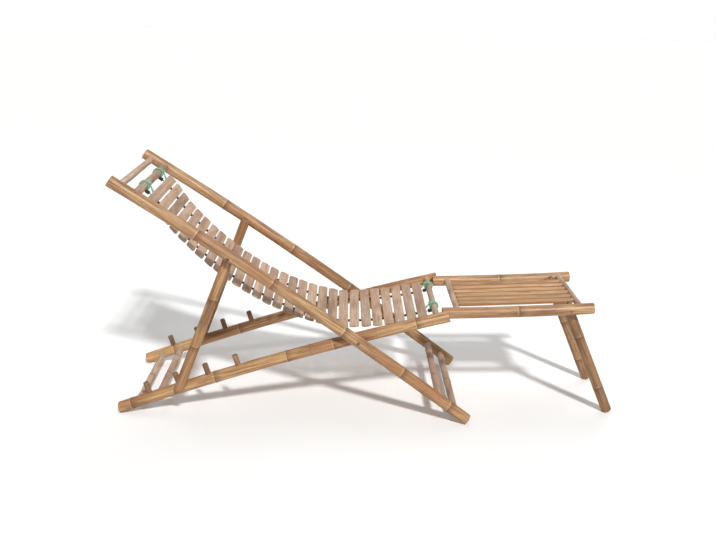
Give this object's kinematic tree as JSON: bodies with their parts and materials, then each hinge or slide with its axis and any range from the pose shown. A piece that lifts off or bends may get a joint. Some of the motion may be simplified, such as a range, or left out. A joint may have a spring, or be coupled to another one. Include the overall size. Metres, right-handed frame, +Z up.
{
  "type": "bamboo folding recliner",
  "caption": "Low bamboo deck recliner with crossed side rails, a rope-hung slat sling, a pegged back prop and a hinged footrest on folding legs.",
  "frame": {"origin": "on the floor, under the middle of the recliner's bounding box", "axes": "+X towards the footrest, +Y towards the sitter's left, +Z up"},
  "size_m": [1.8204, 0.602, 0.8779],
  "materials": {
    "culm": "satin",
    "bar": "matte",
    "slat": "matte",
    "dowel": "matte",
    "rope": "matte"
  },
  "bodies": {
    "seat_frame": {"seat_rail_right": "culm", "seat_rail_left": "culm", "seat_peg_right_1": "bar", "seat_peg_right_2": "bar", "seat_peg_right_3": "bar", "seat_peg_right_4": "bar", "seat_peg_left_1": "bar", "seat_peg_left_2": "bar", "seat_peg_left_3": "bar", "seat_peg_left_4": "bar", "seat_rung_rear": "bar", "seat_rung_inner": "bar", "front_sling_bar": "bar", "sling_slats_21_22": "slat", "sling_slats_23_24": "slat", "sling_slats_25_26": "slat", "sling_slats_27_28": "slat", "front_lashing_right": "rope", "front_lashing_left": "rope"},
    "back_frame": {"back_rail_right": "culm", "back_rail_left": "culm", "main_pivot_pin_right": "dowel", "main_pivot_pin_left": "dowel", "prop_pivot_pin_right": "dowel", "prop_pivot_pin_left": "dowel", "head_crossbar": "bar", "head_sling_bar": "bar", "foot_rung_upper": "bar", "foot_rung_lower": "bar", "sling_slats_01_02": "slat", "sling_slats_03_04": "slat", "sling_slats_05_06": "slat", "sling_slats_07_08": "slat", "sling_slats_09_10": "slat", "sling_slats_11_12": "slat", "sling_slats_13_14": "slat", "sling_slats_15_16": "slat", "sling_slats_17_18": "slat", "sling_slats_19_20": "slat", "head_lashing_right": "rope", "head_lashing_left": "rope"},
    "prop_frame": {"prop_leg_right": "culm", "prop_leg_left": "culm", "prop_crossbar": "bar"},
    "footrest": {"footrest_rail_right": "culm", "footrest_rail_left": "culm", "footrest_crossbar_inner": "bar", "footrest_crossbar_outer": "bar", "footrest_slat_1": "slat", "footrest_slat_2": "slat", "footrest_slat_3": "slat", "footrest_slat_4": "slat", "footrest_slat_5": "slat", "footrest_slat_6": "slat"},
    "footrest_legs": {"footrest_leg_right": "culm", "footrest_leg_left": "culm", "footrest_leg_axle": "dowel"}
  },
  "joints": [
    {"name": "back_fold", "type": "hinge", "parent": "seat_frame", "child": "back_frame", "pos_m": [-0.04651, 0, 0.3052], "axis": [0, 1, 0], "range_deg": [0, 119]},
    {"name": "prop_swing", "type": "hinge", "parent": "back_frame", "child": "prop_frame", "pos_m": [-0.49836, 0, 0.60104], "axis": [0, 1, 0], "range_deg": [-59.5, 0]},
    {"name": "footrest_hinge", "type": "hinge", "parent": "seat_frame", "child": "footrest", "pos_m": [0.2634, 0, 0.38993], "axis": [0, 1, 0], "range_deg": [-20, 42]},
    {"name": "footrest_legs_fold", "type": "hinge", "parent": "footrest", "child": "footrest_legs", "pos_m": [0.71242, 0, 0.41103], "axis": [0, 1, 0], "range_deg": [0, 106]}
  ],
  "couplings": [
    {"joint": "prop_swing", "follows": "back_fold", "ratio": -0.5}
  ]
}
